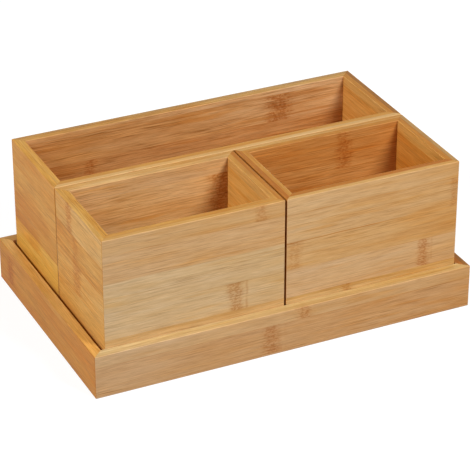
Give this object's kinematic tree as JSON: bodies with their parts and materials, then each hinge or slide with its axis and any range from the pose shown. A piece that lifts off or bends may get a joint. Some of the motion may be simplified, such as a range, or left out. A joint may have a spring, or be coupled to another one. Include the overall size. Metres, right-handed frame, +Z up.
{
  "type": "desk organizer",
  "caption": "Low bamboo tray holding lift-out open-top boxes: a long box along the back and short boxes side by side in front.",
  "frame": {"origin": "on the surface the tray stands on, under the middle of the tray", "axes": "+X along the long side, to the right seen from the front; +Y from the front to the back; +Z up"},
  "size_m": [0.3, 0.19, 0.119],
  "materials": {
    "bamboo_rail": "clear satin lacquer on laminated bamboo",
    "bamboo_wall": "clear satin lacquer on laminated bamboo",
    "bamboo_panel": "clear satin lacquer on laminated bamboo"
  },
  "bodies": {
    "tray": {"tray_floor": "bamboo_panel", "tray_front_rail": "bamboo_rail", "tray_back_rail": "bamboo_rail", "tray_left_rail": "bamboo_rail", "tray_right_rail": "bamboo_rail"},
    "long_box": {"long_box_floor": "bamboo_panel", "long_box_front_wall": "bamboo_wall", "long_box_back_wall": "bamboo_wall", "long_box_left_wall": "bamboo_wall", "long_box_right_wall": "bamboo_wall"},
    "left_box": {"left_box_floor": "bamboo_panel", "left_box_front_wall": "bamboo_wall", "left_box_back_wall": "bamboo_wall", "left_box_left_wall": "bamboo_wall", "left_box_right_wall": "bamboo_wall"},
    "right_box": {"right_box_floor": "bamboo_panel", "right_box_front_wall": "bamboo_wall", "right_box_back_wall": "bamboo_wall", "right_box_left_wall": "bamboo_wall", "right_box_right_wall": "bamboo_wall"}
  },
  "joints": [
    {"name": "long_box_lift", "type": "slide", "parent": "tray", "child": "long_box", "axis": [0, 0, 1], "range_m": [0, 0.115]},
    {"name": "left_box_lift", "type": "slide", "parent": "tray", "child": "left_box", "axis": [0, 0, 1], "range_m": [0, 0.115]},
    {"name": "right_box_lift", "type": "slide", "parent": "tray", "child": "right_box", "axis": [0, 0, 1], "range_m": [0, 0.115]}
  ]
}
